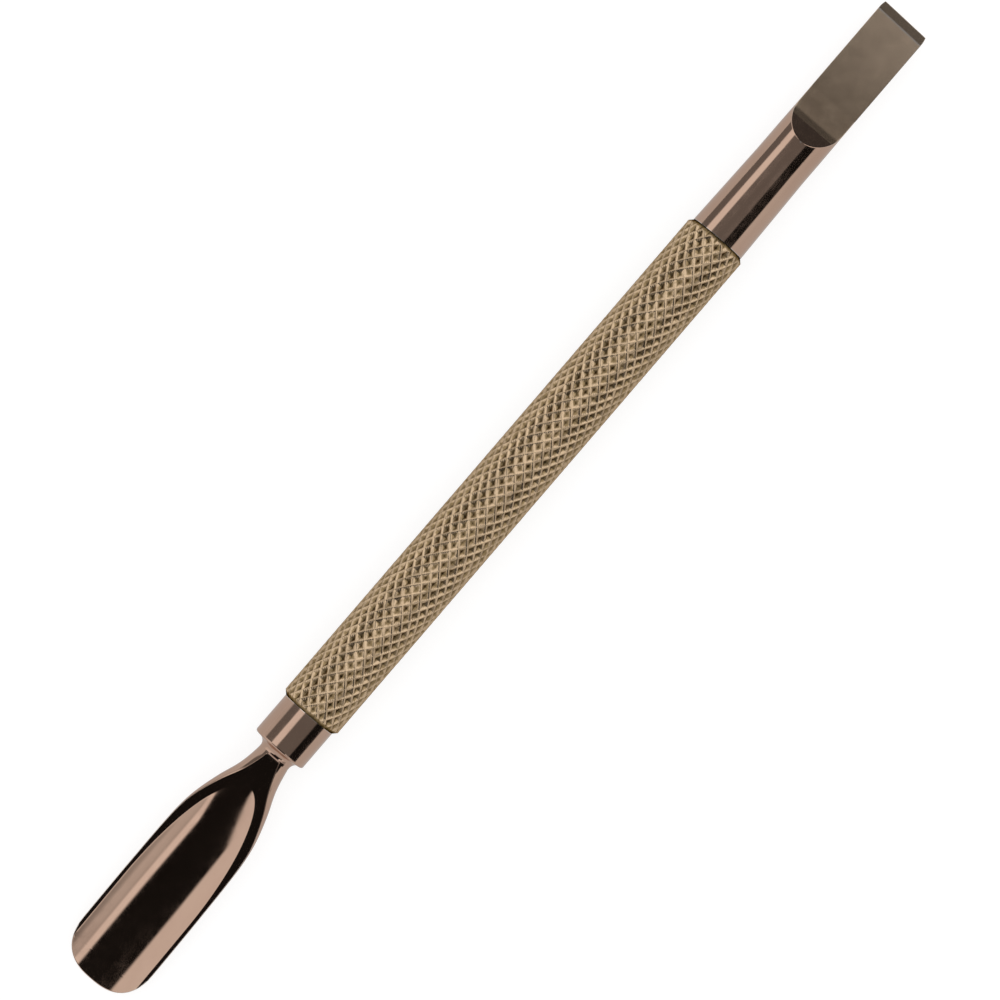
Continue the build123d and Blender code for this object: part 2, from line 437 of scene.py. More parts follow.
def tip_half_section(station):
    """The +Y half of a section through the tip, where the hollow runs out over a thin rounded edge."""
    half_width, half_height, middle = blank_section(station)
    outline = tip_half_width(station)
    bottom = front_height(station) - HOLLOW_DEPTH
    stretch = math.hypot(1, FRONT_TIP_SLOPE)
    top_count, wall_count, back_count = TIP_SECTION_COUNTS
    points = []
    for step in range(top_count):
        across = outline * (1 - (1 - step / (top_count - 1)) ** 2)
        dish = (HOLLOW_RADIUS - math.sqrt(HOLLOW_RADIUS**2 - across**2)) * stretch
        points.append((across, bottom + dish - tip_rounding(station, across)))
    back = []
    for step in range(back_count):
        across = outline * (1 - (step / (back_count - 1)) ** 2)
        drop = half_height * math.sqrt(max(0.0, 1 - (across / half_width) ** 2))
        back.append((across, middle - drop + tip_rounding(station, across)))
    high = points[-1][1]
    low = back[0][1]
    for step in range(1, wall_count + 1):
        points.append((outline, high + (low - high) * step / (wall_count + 1)))
    return points + back


def hollow_shape(station):
    """The hollow's depth below the front face, and how much its slope stretches its round section."""
    run = HOLLOW_END_STATION - HOLLOW_STRAIGHT_END
    climb = max(0.0, station - HOLLOW_STRAIGHT_END)
    depth = HOLLOW_DEPTH * (1 - (climb / run) ** 2)
    slope = FRONT_TIP_SLOPE + station / FRONT_BOW_RADIUS + 2 * HOLLOW_DEPTH * climb / run**2
    return depth, math.sqrt(1 + slope**2)


def edge_and_back(blank, front_angle, land_end, outline):
    """The runs below the front face: the tip's upright wall or the lip's start, and then the back."""
    half_width, half_height, middle = blank
    if outline < half_width * math.sin(front_angle):
        back_angle = math.pi - math.asin(outline / half_width)
        wall_foot = (outline, middle + half_height * math.cos(back_angle))
        return [
            line(land_end, wall_foot),
            arc(half_width, half_height, middle, back_angle, math.pi),
        ]
    lip_angle = front_angle + LIP_ANGLE
    return [
        arc(half_width, half_height, middle, front_angle, lip_angle),
        arc(half_width, half_height, middle, lip_angle, math.pi),
    ]


def spoon_half_section(station):
    """The +Y half of the spoon's section: hollow, land, edge and back."""
    half_width, half_height, middle = blank_section(station)
    front = cut_height(station)
    above = (front - middle) / half_height
    front_angle = math.acos(above) if above < 1 else 0.0
    outline = tip_half_width(station)
    edge = min(half_width * math.sin(front_angle), outline)
    depth, stretch = hollow_shape(station)

    def hollow_height(across):
        return front - depth + (HOLLOW_RADIUS - math.sqrt(HOLLOW_RADIUS**2 - across**2)) * stretch

    hollow_edge = 0.0
    if depth > 0:
        hollow_edge = math.sqrt(HOLLOW_RADIUS**2 - (HOLLOW_RADIUS - depth / stretch) ** 2)
    hollow_edge = min(hollow_edge, edge)
    top = hollow_height(hollow_edge) if hollow_edge > 0 else front
    if above >= 1:
        top = middle + half_height

    def hollow_at(t):
        return (hollow_edge * t, hollow_height(hollow_edge * t))

    land_end = (edge, front if edge > hollow_edge else top)
    if above >= 1:
        land_end = (0.0, top)
    runs = [
        (hollow_at if hollow_edge > 0 else (lambda t: (0.0, top)), hollow_edge),
        line((hollow_edge, top), land_end),
    ]
    runs += edge_and_back((half_width, half_height, middle), front_angle, land_end, outline)
    return chain(runs, SPOON_SECTION_COUNTS, SPOON_EDGE_ROUND)


def even_turns(count):
    """Angles of a half section, from straight up to straight down."""
    return [math.pi * step / (count - 1) for step in range(count)]


def round_half_section(radius, turns):
    """The +Y half of a circle about the tool's axis, with a point at each of some angles."""
    return [(radius * math.sin(turn), AXIS_HEIGHT + radius * math.cos(turn)) for turn in turns]


def place_ring(half, station, offset=0.0, skew=0.0):
    """A whole section as points in space; skew leans it so that its +Y side reaches further."""
    return [
        (SPOON_TIP_X + station + skew * across, across + offset, height)
        for across, height in full_ring(half)
    ]


def flare_ring(share, turns):
    """A section of the flare, which leads the neck, set a little aside, on to the tool's axis."""
    angle = share * math.pi / 2
    settled = 1 - math.cos(angle)
    station = COLLAR_STATION - FLARE_LENGTH * (1 - math.sin(angle))
    radius = NECK_RADIUS + (FLARE_TOP_RADIUS - NECK_RADIUS) * settled
    return place_ring(round_half_section(radius, turns), station, NECK_SIDE_SET * (settled - 1))


def collar_profile():
    """(station, radius) corners from the collar's rounded edge to its seam with the tube."""
    angles = [math.pi / 2 * step / COLLAR_EDGE_STEPS for step in range(COLLAR_EDGE_STEPS + 1)]
    profile = [
        (
            COLLAR_STATION + COLLAR_EDGE_ROUND * (1 - math.cos(angle)),
            COLLAR_RADIUS - COLLAR_EDGE_ROUND * (1 - math.sin(angle)),
        )
        for angle in angles
    ]
    for inset in EDGE_INSETS[::-1]:
        profile.append((COLLAR_STATION + COLLAR_EDGE_ROUND + inset, COLLAR_RADIUS))
    for inset in EDGE_INSETS:
        profile.append((HANDLE_START - SMALL_BREAK - inset, COLLAR_RADIUS))
    profile.append((HANDLE_START - SMALL_BREAK, COLLAR_RADIUS))
    profile.append((HANDLE_START, COLLAR_RADIUS - SMALL_BREAK))
    return profile


def make_spoon():
    """The spoon, its neck and collar, and its tang, as one skin over rings from tip to tang."""
    rings = [
        place_ring(tip_half_section(station), station, side_offset(station))
        for station in (
            span(0, SPOON_EDGE_ROUND, 7, "start")
            + span(SPOON_EDGE_ROUND, TIP_SECTIONS_END, 40, "start")
        )
    ]
    stations = (
        span(TIP_SECTIONS_END, CLOSE_RINGS_END, 12)
        + span(CLOSE_RINGS_END, HEEL_START, 100)
        + span(HEEL_START, HOLLOW_END_STATION, 52, "end")
        + span(HOLLOW_END_STATION, NECK_STATION, 26)
        + span(NECK_STATION, NECK_STATION + FRONT_END_ROUND, 14, "both")
    )
    for station in stations:
        rings.append(place_ring(spoon_half_section(station), station, side_offset(station)))
    # the round sections keep the neck's spacing of points, so that the faces between them don't twist
    neck_end = spoon_half_section(NECK_STATION + FRONT_END_ROUND)
    turns = [math.atan2(across, height - AXIS_HEIGHT) for across, height in neck_end]
    for step in range(1, FLARE_STEPS + 1):
        rings.append(flare_ring(step / FLARE_STEPS, turns))
    for station, radius in collar_profile() + tang_profile(HANDLE_START, 1)[::-1]:
        rings.append(place_ring(round_half_section(radius, turns), station))
    points, faces = skin(rings)
    return make_piece("polished_spoon", points, faces, SPOON_SHARP_DEGREES, "spoon_end")


# ---------------------------------------------------------------- scraper

def blade_front(station):
    """Height of the ground front of the scraper, or None where the bar is still whole."""
    if station <= RUN_OUT_START:
        return None
    flat = AXIS_HEIGHT - BLADE_FLAT_BELOW_AXIS
    slope = math.radians(RUN_OUT_DEGREES)
    corner = RUN_OUT_START + (AXIS_HEIGHT + SHANK_RADIUS - flat) / math.tan(slope)
    tangent = RUN_OUT_RADIUS * math.tan(slope / 2)
    bend_start = corner - tangent * math.cos(slope)
    bend_end = corner + tangent
    if station < bend_start:
        return flat + (corner - station) * math.tan(slope)
    if station < bend_end:
        reach = bend_end - station
        return flat + RUN_OUT_RADIUS - math.sqrt(RUN_OUT_RADIUS**2 - reach**2)
    bevel = max(0.0, station - (TOTAL_LENGTH - TIP_BEVEL_LENGTH))
    return flat - bevel * TIP_BEVEL_DROP / TIP_BEVEL_LENGTH


def blade_back(station):
    """Height of the ground back of the scraper."""
    start = AXIS_HEIGHT - SHANK_RADIUS
    end = AXIS_HEIGHT - BLADE_FLAT_BELOW_AXIS - BLADE_TIP_THICKNESS
    share = (station - BACK_TAPER_START) / (TOTAL_LENGTH - BACK_TAPER_START)
    return start + (end - start) * max(0.0, share)


def end_inset(station, rounding):
    """How far a rounded edge has drawn in, for a station close to the blade's end."""
    into = max(0.0, station - (TOTAL_LENGTH - rounding))
    return rounding - math.sqrt(max(0.0, rounding**2 - into**2))


def scraper_half_section(station):
    """The +Y half of the scraper's section: ground front, round side and ground back."""
    share = min(1.0, (station - HANDLE_END) / SHANK_TAPER_LENGTH)
    radius = SHANK_ROOT_RADIUS + (SHANK_RADIUS - SHANK_ROOT_RADIUS) * share
    inset = end_inset(station, BLADE_EDGE_ROUND)
    side = math.inf
    if station > RUN_OUT_START:
        grind = BLADE_SIDE_GRIND * min(1.0, (station - RUN_OUT_START) / SIDE_GRIND_RUN)
        side = SHANK_RADIUS - grind - end_inset(station, TIP_CORNER_ROUND)
    front = blade_front(station)
    front_angle = 0.0
    if front is not None:
        front_angle = math.acos(min(1.0, (front - inset - AXIS_HEIGHT) / radius))
    back_angle = math.acos(max(-1.0, (blade_back(station) + inset - AXIS_HEIGHT) / radius))
    if back_angle > math.pi - NO_FLAT_ANGLE:
        back_angle = math.pi
    round_side = arc(radius, radius, AXIS_HEIGHT, front_angle, back_angle, side)
    front_edge = round_side[0](0)
    back_edge = round_side[0](1)
    runs = [
        line((0.0, front_edge[1]), front_edge),
        round_side,
        line(back_edge, (0.0, back_edge[1])),
    ]
    return chain(runs, SCRAPER_SECTION_COUNTS, BLADE_EDGE_ROUND)


def tip_skew(station):
    """The lean of a section towards the blade's slightly skewed end."""
    share = min(1.0, max(0.0, (station - SKEW_START) / SKEW_RUN))
    return math.tan(math.radians(TIP_SKEW_DEGREES)) * share


def make_scraper():
    """The scraper's tang, shank and blade, as one skin over rings from tang to edge."""
    turns = even_turns(len(scraper_half_section(HANDLE_END)))
    rings = []
    for station, radius in tang_profile(HANDLE_END, -1):
        rings.append(place_ring(round_half_section(radius, turns), station))
    rings.append(place_ring(round_half_section(SHANK_ROOT_RADIUS - SMALL_BREAK, turns), HANDLE_END))
    bevel_start = TOTAL_LENGTH - TIP_BEVEL_LENGTH
    stations = (
        [HANDLE_END + SMALL_BREAK]
        + [HANDLE_END + SMALL_BREAK + inset for inset in EDGE_INSETS[::-1]]
        + span(HANDLE_END + SHANK_RINGS_FROM, BACK_TAPER_START, 24)
        + span(BACK_TAPER_START, RUN_OUT_START, 12, "start")
        + span(RUN_OUT_START, BLADE_FACE_START, 40, "start")
        + span(BLADE_FACE_START, SKEW_START, 40)
        + span(SKEW_START, bevel_start, 36)
        + span(bevel_start, TOTAL_LENGTH - TIP_CORNER_ROUND, 8)
        + span(TOTAL_LENGTH - TIP_CORNER_ROUND, TOTAL_LENGTH - BLADE_EDGE_ROUND, 10, "end")
        + span(TOTAL_LENGTH - BLADE_EDGE_ROUND, TOTAL_LENGTH, 5, "end")
        + [TOTAL_LENGTH]
    )
    for station in stations:
        # the skewed end's longer corner stays at the full length
        skew = tip_skew(station)
        shift = skew * (SHANK_RADIUS - BLADE_SIDE_GRIND)
        rings.append(place_ring(scraper_half_section(station), station - shift, 0.0, skew))
    points, faces = skin(rings)
    return make_piece("ground_scraper", points, faces, SCRAPER_SHARP_DEGREES, "scraper_end")


# ---------------------------------------------------------------- handle

def knurl_drop(along, around, depth, wear):
    """Depth of the knurl: two crossing sets of raised ridges with a pit in each diamond between them."""
    pit = 1.0
    for phase in (along + around, along - around):
        off_ridge = 1 - abs(phase - math.floor(phase) - 0.5) * 2
        pit = min(pit, max(0.0, (off_ridge - KNURL_CREST_SHARE) / (1 - KNURL_CREST_SHARE)))
    return max(pit * depth, wear)


def tube_point(distance, radius, angle):
    """A point of the tube, by its distance from the tube's start and its angle from straight up."""
    return (
        SPOON_TIP_X + HANDLE_START + distance,
        radius * math.sin(angle),
        AXIS_HEIGHT + radius * math.cos(angle),
    )


def knurled_points(rows, margin, step_length):
    """Rows of points round the tube's outside; each diamond of the knurl has its own depth and wear."""
    chance = random.Random(KNURL_SEED)
    length = rows[-1]
    worn = {}
    points = []
    for distance in rows:
        to_end = min(distance, length - distance)
        limit = HANDLE_RADIUS - HANDLE_EDGE_CHAMFER + min(HANDLE_EDGE_CHAMFER, to_end)
        grid_row = distance / step_length - margin / step_length
        for column in range(KNURL_COLUMNS):
            diamond = (int((grid_row + column) // KNURL_STEPS), int((grid_row - column) // KNURL_STEPS))
            if diamond not in worn:
                depth = KNURL_DEPTH * chance.uniform(KNURL_SHALLOWEST, 1.0)
                worn[diamond] = (depth, chance.uniform(0.0, KNURL_WEAR))
            drop = knurl_drop(grid_row / KNURL_STEPS, column / KNURL_STEPS, *worn[diamond])
            angle = 2 * math.pi * column / KNURL_COLUMNS
            points.append(tube_point(distance, min(HANDLE_RADIUS - drop, limit), angle))
    return points


def knurled_faces(row_count):
    """Faces whose diagonals follow the ridges, and whose sides follow the creases of the pits."""
    faces = []
    for index in range(row_count - 1):
        for column in range(KNURL_COLUMNS):
            follow = (column + 1) % KNURL_COLUMNS
            a = index * KNURL_COLUMNS + column
            b = index * KNURL_COLUMNS + follow
            c = (index + 1) * KNURL_COLUMNS + follow
            d = (index + 1) * KNURL_COLUMNS + column
            if (index + column) % KNURL_STEPS == 0:
                faces += [(a, b, d), (b, c, d)]
            else:
                faces += [(a, b, c), (a, c, d)]
    return faces


def bore_faces(last, near_ring, far_ring):
    """Both end faces and the bore, from the first points of the outside's last row and the bore's rings."""
    faces = []
    for column in range(KNURL_COLUMNS):
        follow = (column + 1) % KNURL_COLUMNS
        faces.append((near_ring + column, near_ring + follow, follow, column))
        faces.append((last + column, last + follow, far_ring + follow, far_ring + column))
        faces.append((far_ring + column, far_ring + follow, near_ring + follow, near_ring + column))
    return faces


def make_handle():
    """The tube: its knurled outside, both end faces and its bore."""
    length = HANDLE_END - HANDLE_START
    step_length = KNURL_PITCH / KNURL_STEPS
    whole_rows = int(length / step_length)
    margin = (length - whole_rows * step_length) / 2
    rows = [0.0] + [margin + row * step_length for row in range(whole_rows + 1)] + [length]
    points = knurled_points(rows, margin, step_length)
    near_ring = len(points)
    for distance in (0.0, length):
        for column in range(KNURL_COLUMNS):
            points.append(tube_point(distance, BORE_RADIUS, 2 * math.pi * column / KNURL_COLUMNS))
    far_ring = near_ring + KNURL_COLUMNS
    last = near_ring - KNURL_COLUMNS
    faces = knurled_faces(len(rows)) + bore_faces(last, near_ring, far_ring)
    return make_piece("knurled_handle", points, faces, HANDLE_SHARP_DEGREES, "handle_tube")


# ---------------------------------------------------------------- materials

# numbers of the Mix node's sockets for colour
COLOUR_A = 6
COLOUR_B = 7
COLOUR_RESULT = 2

NOISE_ROUGHNESS = 0.55


class Nodes:
    """Short ways to add and join shader nodes."""

    def __init__(self, tree):
        self.tree = tree
        tree.nodes.clear()

    def add(self, kind, **settings):
        node = self.tree.nodes.new(kind)
        for name, value in settings.items():
            setattr(node, name, value)
        return node

    def join(self, source, target):
        if isinstance(source, (int, float, tuple)):
            target.default_value = source
        else:
            self.tree.links.new(source, target)

    def math(self, operation, first, second=0.0):
        node = self.add("ShaderNodeMath", operation=operation)
        for value, socket in zip((first, second), node.inputs):
            self.join(value, socket)
        return node.outputs[0]

    def axes(self, coordinates):
        """The three numbers of the object's coordinates, or of a direction."""
        place = self.add("ShaderNodeTexCoord").outputs[coordinates]
        parts = self.add("ShaderNodeSeparateXYZ")
        self.join(place, parts.inputs["Vector"])
        return parts.outputs["X"], parts.outputs["Y"], parts.outputs["Z"]

    def noise(self, per_mm, detail):
        """Noise over the object, with its own number of blotches per millimetre along each axis."""
        place = self.add("ShaderNodeTexCoord").outputs["Object"]
        stretched = self.add("ShaderNodeMapping")
        self.join(place, stretched.inputs["Vector"])
        stretched.inputs["Scale"].default_value = [value / MM for value in per_mm]
        node = self.add("ShaderNodeTexNoise")
        self.join(stretched.outputs["Vector"], node.inputs["Vector"])
        node.inputs["Scale"].default_value = 1.0
        node.inputs["Detail"].default_value = detail
        node.inputs["Roughness"].default_value = NOISE_ROUGHNESS
        return node.outputs["Fac"]

    def span(self, value, low, high, out_low, out_high):
        """A value from one span carried over to another, and held at its ends."""
        node = self.add("ShaderNodeMapRange")
        node.inputs["From Min"].default_value = low
        node.inputs["From Max"].default_value = high
        node.inputs["To Min"].default_value = out_low
        node.inputs["To Max"].default_value = out_high
        self.join(value, node.inputs["Value"])
        return node.outputs["Result"]

    def mix(self, share, first, second):
        node = self.add("ShaderNodeMix", data_type="RGBA")
        self.join(share, node.inputs["Factor"])
        self.join(first, node.inputs[COLOUR_A])
        self.join(second, node.inputs[COLOUR_B])
        return node.outputs[COLOUR_RESULT]

    def bump(self, height, distance, strength):
        node = self.add("ShaderNodeBump")
        node.inputs["Distance"].default_value = distance * MM
        node.inputs["Strength"].default_value = strength
        self.join(height, node.inputs["Height"])
        return node.outputs["Normal"]

    def wear(self):
        """Where outward edges are paler, unevenly: partly the coating rubbed thin, partly a painted
        highlight along the edge.
        """
        bend = self.add("ShaderNodeAttribute", attribute_name="edge_bend").outputs["Fac"]
        rub = self.noise((2.0, 2.0, 2.0), 5.0)
        return self.math("MULTIPLY", bend, self.span(rub, 0.3, 0.6, 0.45, 1.0))


def new_material(name):
    """An empty material with its nodes, its metal shader and the shader joined to the output."""
    material = bpy.data.materials.new(name)
    material.use_nodes = True
    nodes = Nodes(material.node_tree)
    output = nodes.add("ShaderNodeOutputMaterial")
    metal = nodes.add("ShaderNodeBsdfPrincipled")
    metal.inputs["Metallic"].default_value = 1.0
    nodes.join(metal.outputs["BSDF"], output.inputs["Surface"])
    return material, nodes, metal


COATING = (0.64, 0.44, 0.335, 1.0)
COATING_DEEP = (0.58, 0.385, 0.29, 1.0)
# the ground face's colour near the ramp and at the tip: the coating's colour with a painted reflection that
# runs from dark to light along the blade
GROUND_PAINTED_REFLECTION_DARK = (0.42, 0.31, 0.22, 1.0)
GROUND_PAINTED_REFLECTION_LIGHT = (1.0, 0.77, 0.57, 1.0)
# the bevel's colours: the same ground finish made darker, a painted shade, with the same painted reflection
# along the blade
BEVEL_PAINTED_SHADE_DEEP = (0.48, 0.36, 0.26, 1.0)
BEVEL_PAINTED_SHADE_MILD = (0.56, 0.43, 0.32, 1.0)
# bare steel shown along outward edges: partly wear through the coating, partly a painted highlight
WORN_STEEL_AND_EDGE_HIGHLIGHT = (0.86, 0.80, 0.75, 1.0)
# the knurl's colours by depth: painted shade in the pits and on the flanks, and a painted highlight on the
# crests
KNURL_PIT_PAINTED_SHADE = (0.11, 0.078, 0.034, 1.0)
KNURL_FLANK_PAINTED_SHADE = (0.35, 0.245, 0.125, 1.0)
KNURL_CREST_PAINTED_HIGHLIGHT = (0.76, 0.56, 0.365, 1.0)
# a dark tint of the knurl's glancing reflection: painted shade towards the tube's outline
KNURL_GRAZING_PAINTED_SHADE = (0.1, 0.09, 0.08, 1.0)
FILLER_PALE = (0.80, 0.62, 0.34, 1.0)
FILLER_DARK = (0.62, 0.44, 0.22, 1.0)

# how many grinding or polishing lines lie side by side in a millimetre
POLISH_LINES = 22.0
GRINDING_LINES = 26.0
# a ground face shines less fully than a polished one
GROUND_METALLIC = 0.93
# how far below the tube's outside a crest still gets the full painted highlight
CREST_DROP = 0.02


def polished_coating():
    """Mirror-polished steel under a rose-brown coating, a little paler along its edges, partly rubbed and
    partly a painted highlight.
    """
    material, nodes, metal = new_material("polished_coating")
    cloud = nodes.noise((0.18, 0.3, 0.3), 4.0)
    tint = nodes.mix(nodes.span(cloud, 0.35, 0.7, 0.0, 0.6), COATING, COATING_DEEP)
    nodes.join(nodes.mix(nodes.wear(), tint, WORN_STEEL_AND_EDGE_HIGHLIGHT), metal.inputs["Base Color"])
    haze = nodes.noise((0.8, 1.1, 1.1), 6.0)
    lines = nodes.noise((0.35, POLISH_LINES, POLISH_LINES), 2.0)
    roughness = nodes.math(
        "ADD", nodes.span(haze, 0.3, 0.75, 0.05, 0.11), nodes.span(lines, 0.45, 0.8, 0.0, 0.05)
    )
    nodes.join(roughness, metal.inputs["Roughness"])
    nodes.join(nodes.bump(lines, 0.002, 0.12), metal.inputs["Normal"])
    return material


def ground_coating(name, dark, light):
    """A ground face: the same coating over fine grinding lines, so it shines softly. Its colour runs from
    dark near the ramp to light at the tip, a painted reflection, with random tone over it, and it is paler
    along outward edges, partly wear and partly a painted highlight.
    """
    material, nodes, metal = new_material(name)
    along = nodes.axes("Object")[0]
    blade_start = (SPOON_TIP_X + BLADE_FACE_START) * MM
    blade_end = (SPOON_TIP_X + TOTAL_LENGTH) * MM
    # painted reflection: the colour runs from the darker colour near the ramp to the lighter one at the tip
    toward_tip = nodes.span(along, blade_start, blade_end, 0.0, 1.0)
    cloud = nodes.noise((0.5, 0.5, 0.5), 4.0)
    painted_reflection_and_tone = nodes.math("ADD", toward_tip, nodes.span(cloud, 0.3, 0.7, -0.12, 0.12))
    tint = nodes.mix(painted_reflection_and_tone, dark, light)
    nodes.join(nodes.mix(nodes.wear(), tint, WORN_STEEL_AND_EDGE_HIGHLIGHT), metal.inputs["Base Color"])
    lines = nodes.noise((0.5, GRINDING_LINES, GRINDING_LINES), 3.0)
    nodes.join(nodes.span(lines, 0.3, 0.7, 0.12, 0.18), metal.inputs["Roughness"])
    nodes.join(nodes.bump(lines, 0.002, 0.1), metal.inputs["Normal"])
    metal.inputs["Metallic"].default_value = GROUND_METALLIC
    return material


def knurled_coating():
    """The knurl: rolled steel under the coating, painted dark in its grooves as painted shade and light on
    its crests as a painted highlight, and rougher in its grooves.
    """
    material, nodes, metal = new_material("knurled_coating")
    _, across, height = nodes.axes("Object")
    up = nodes.math("SUBTRACT", height, AXIS_HEIGHT * MM)
    squares = nodes.math("ADD", nodes.math("MULTIPLY", across, across), nodes.math("MULTIPLY", up, up))
    radius = nodes.math("SQRT", squares)
    pit_radius = (HANDLE_RADIUS - KNURL_DEPTH) * MM
    crest_radius = (HANDLE_RADIUS - CREST_DROP) * MM
    crest = nodes.span(radius, pit_radius, crest_radius, 0.0, 1.0)
    grain = nodes.noise((2.2, 2.2, 2.2), 5.0)
    level = nodes.math("ADD", crest, nodes.span(grain, 0.3, 0.7, -0.25, 0.25))
    # painted shade deepening into the pits, and a painted highlight on the crests, by distance from the
    # tube's axis
    painted_pit_shade = nodes.mix(nodes.span(level, 0.0, 0.45, 0.0, 1.0), KNURL_PIT_PAINTED_SHADE, KNURL_FLANK_PAINTED_SHADE)
    tint = nodes.mix(nodes.span(level, 0.62, 0.9, 0.0, 1.0), painted_pit_shade, KNURL_CREST_PAINTED_HIGHLIGHT)
    nodes.join(tint, metal.inputs["Base Color"])
    nodes.join(nodes.span(level, 0.0, 1.0, 0.34, 0.26), metal.inputs["Roughness"])
    nodes.join(nodes.bump(grain, 0.02, 0.35), metal.inputs["Normal"])
    # the dark edge tint is painted shade on the knurl's glancing reflection
    metal.inputs["Specular Tint"].default_value = KNURL_GRAZING_PAINTED_SHADE
    return material


def braze_filler():
    """Brass-coloured filler metal between tang and tube, with a frozen, slightly grainy skin."""
    material, nodes, metal = new_material("braze_filler")
    grain = nodes.noise((1.5, 1.5, 1.5), 6.0)
    nodes.join(nodes.mix(grain, FILLER_PALE, FILLER_DARK), metal.inputs["Base Color"])
    nodes.join(nodes.span(grain, 0.3, 0.7, 0.3, 0.55), metal.inputs["Roughness"])
    nodes.join(nodes.bump(grain, 0.03, 0.4), metal.inputs["Normal"])
    return material


def dress_scraper(piece, materials):
    """Polished steel all over, but the blade's flat face and its bevel are ground; the bevel gets a darker
    copy of the ground finish, a painted shade.
    """
    for material in materials:
        piece.data.materials.append(material)
    face_start = (SPOON_TIP_X + GROUND_START) * MM
    bevel_start = (SPOON_TIP_X + TOTAL_LENGTH - 2 * TIP_BEVEL_LENGTH) * MM
    for face in piece.data.polygons:
        if face.normal.z < GROUND_FACES_UP or face.center.x < face_start:
            continue
        bevelled = face.center.x > bevel_start and face.normal.x > BEVEL_FACES_FORWARD
        face.material_index = 2 if bevelled else 1


# ---------------------------------------------------------------- stage

# the camera's lens in millimetres, and how deep it sees in metres
LENS = 200.0
SENSOR_WIDTH = 36.0
VIEW_DEPTH = 10.0
# width and middle of the view at the height of the tool's axis, and its turn
VIEW_WIDTH = 100.5
VIEW_CENTRE_X = 0.1
VIEW_CENTRE_Y = -0.54
VIEW_TURN_DEGREES = -49.33

# metres from the middle of the floor to its edges
FLOOR_REACH = 3.0
# the floor's matt share and its glow, as seen and as the metal mirrors them
FLOOR_MATT_SEEN = 0.3
FLOOR_MATT_MIRRORED = 0.2
FLOOR_GLOW_SEEN = 0.77
FLOOR_GLOW_MIRRORED = 0.4

# Light and dark panels as (degrees round the tool's axis, brightness); 0 is straight up, and
# + is towards +Y. Each list is what one stretch of the tool mirrors, and the knurl's list is
# what the bend on to the blade mirrors too.
SHANK_PANELS = [
    (-94, 0.6), (-66, 0.66), (-62, 0.01), (-28, 0.01), (-24, 0.17),
    (34, 0.17), (38, 0.93), (59, 0.93), (63, 0.17), (93, 0.17), (97, 0.6),
]
SPOON_PANELS = [
    (-94, 0.5), (-74, 0.3), (-62, 0.45), (-57, 0.66), (-48, 0.62), (-44, 0.52), (-41, 0.95),
    (-33, 0.98), (-30, 0.01), (35, 0.01), (39, 0.82), (68, 0.82), (94, 0.7),
]
KNURL_PANELS = [
    (-94, 0.35), (-60, 0.7), (-35, 1.0), (-13, 0.95), (-8, 0.2),
    (8, 0.2), (13, 0.95), (35, 1.0), (60, 0.7), (94, 0.35),
]
# the panels past both ends of the tool, which its ramp and its neck mirror
RAMP_PANEL = 0.055
NECK_PANEL = 0.6
# degrees that two lists are turned by, because their panels slant across the tool
SHANK_SLANT = 23.0
SPOON_SLANT = 28.0
# the lean along the tool, in degrees, over which one list gives way to the next; + is towards
# the scraper
SHANK_SLANT_SPAN = (-3.0, 4.0)
SPOON_SLANT_SPAN = (-28.0, -38.0)
SPOON_SPAN = (-9.5, -11.5)
KNURL_SPAN = (7.5, 11.0)
RAMP_SPAN = (73.0, 77.0)
NECK_SPAN = (-42.0, -50.0)


def make_camera():
    """A long lens straight above the tool, which lies across the frame from corner to corner."""
    camera_data = bpy.data.cameras.new("camera")
    camera_data.lens = LENS
    camera_data.sensor_width = SENSOR_WIDTH
    camera_data.clip_end = VIEW_DEPTH
    camera = bpy.data.objects.new("camera", camera_data)
    bpy.context.scene.collection.objects.link(camera)
    distance = VIEW_WIDTH * LENS / SENSOR_WIDTH
    camera.location = (VIEW_CENTRE_X * MM, VIEW_CENTRE_Y * MM, (AXIS_HEIGHT + distance) * MM)
    camera.rotation_euler = (0, 0, math.radians(VIEW_TURN_DEGREES))
    bpy.context.scene.camera = camera


def grey(light):
    """A neutral colour of some brightness."""
    return (light, light, light, 1.0)


def make_floor():
    """A pale floor that is a little darker where the metal mirrors it."""
    build = bmesh.new()
    build.faces.new([
        build.verts.new((x * FLOOR_REACH, y * FLOOR_REACH, 0))
        for x, y in ((-1, -1), (1, -1), (1, 1), (-1, 1))
    ])
    mesh = bpy.data.meshes.new("floor")
    build.to_mesh(mesh)
    build.free()
    floor = bpy.data.objects.new("floor", mesh)
    bpy.context.scene.collection.objects.link(floor)
    material = bpy.data.materials.new("pale_floor")
    material.use_nodes = True
    nodes = Nodes(material.node_tree)
    output = nodes.add("ShaderNodeOutputMaterial")
    matt = nodes.add("ShaderNodeBsdfDiffuse")
    glow = nodes.add("ShaderNodeEmission")
    both = nodes.add("ShaderNodeAddShader")
    path = nodes.add("ShaderNodeLightPath")
    mirrored = path.outputs["Is Glossy Ray"]
    matt_tint = nodes.mix(mirrored, grey(FLOOR_MATT_SEEN), grey(FLOOR_MATT_MIRRORED))
    glow_tint = nodes.mix(mirrored, grey(FLOOR_GLOW_SEEN), grey(FLOOR_GLOW_MIRRORED))
    nodes.join(matt_tint, matt.inputs["Color"])
    nodes.join(glow_tint, glow.inputs["Color"])
    nodes.join(matt.outputs["BSDF"], both.inputs[0])
    nodes.join(glow.outputs["Emission"], both.inputs[1])
    nodes.join(both.outputs["Shader"], output.inputs["Surface"])
    mesh.materials.append(material)


def panel_ramp(nodes, angle, panels):
    """Brightness by angle round the tool's axis, from a list of panels."""
    place = nodes.span(angle, -180.0, 180.0, 0.0, 1.0)
    ramp = nodes.add("ShaderNodeValToRGB")
    nodes.join(place, ramp.inputs["Fac"])
    elements = ramp.color_ramp.elements
    while len(elements) < len(panels):
        elements.new(0.5)
    for element, (degrees, light) in zip(elements, panels):
        element.position = (degrees + 180.0) / 360.0
        element.color = grey(light)
    return ramp.outputs["Color"]


